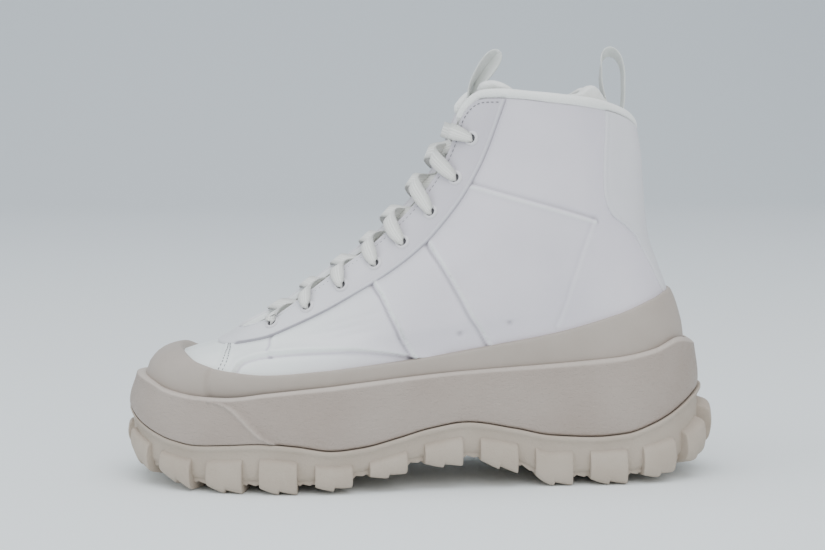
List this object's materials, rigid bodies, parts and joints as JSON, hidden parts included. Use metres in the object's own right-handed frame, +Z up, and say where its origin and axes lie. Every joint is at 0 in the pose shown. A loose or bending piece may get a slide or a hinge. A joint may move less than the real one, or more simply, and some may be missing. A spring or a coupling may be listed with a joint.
{
  "type": "mid-top sneaker",
  "caption": "Pale mid-top lace-up sneaker, left foot, with a thick lugged platform sole, a rubber foxing band and pull loops at tongue and heel.",
  "frame": {"origin": "on the floor, under the middle of the shoe's length and width", "axes": "+X to the toe, +Y to the outer side of this left shoe, +Z up"},
  "size_m": [0.298, 0.1156, 0.2141],
  "materials": {
    "outsole_rubber": "matte moulded rubber",
    "midsole_foam": "foam with a fine leather grain",
    "foxing_rubber": "satin rubber",
    "leather": "smooth coated leather, fine grain",
    "lining": "soft matte fabric",
    "lace_fabric": "flat woven lace",
    "webbing": "thin woven ribbon",
    "eyelet_plastic": "satin moulded ring"
  },
  "bodies": {
    "root": {"outsole": "outsole_rubber", "midsole": "midsole_foam", "foxing": "foxing_rubber", "upper": "leather", "eyestay": "leather", "heel_tab": "leather", "collar_binding": "lining", "heel_pad": "lining", "tongue": "lining", "insole": "lining", "tongue_loop": "webbing", "heel_loop": "webbing", "eyelet_outer_1": "eyelet_plastic", "eyelet_outer_2": "eyelet_plastic", "eyelet_outer_3": "eyelet_plastic", "eyelet_outer_4": "eyelet_plastic", "eyelet_outer_5": "eyelet_plastic", "eyelet_outer_6": "eyelet_plastic", "eyelet_outer_7": "eyelet_plastic", "eyelet_outer_8": "eyelet_plastic", "eyelet_inner_1": "eyelet_plastic", "eyelet_inner_2": "eyelet_plastic", "eyelet_inner_3": "eyelet_plastic", "eyelet_inner_4": "eyelet_plastic", "eyelet_inner_5": "eyelet_plastic", "eyelet_inner_6": "eyelet_plastic", "eyelet_inner_7": "eyelet_plastic", "eyelet_inner_8": "eyelet_plastic", "lace": "lace_fabric"}
  },
  "joints": []
}
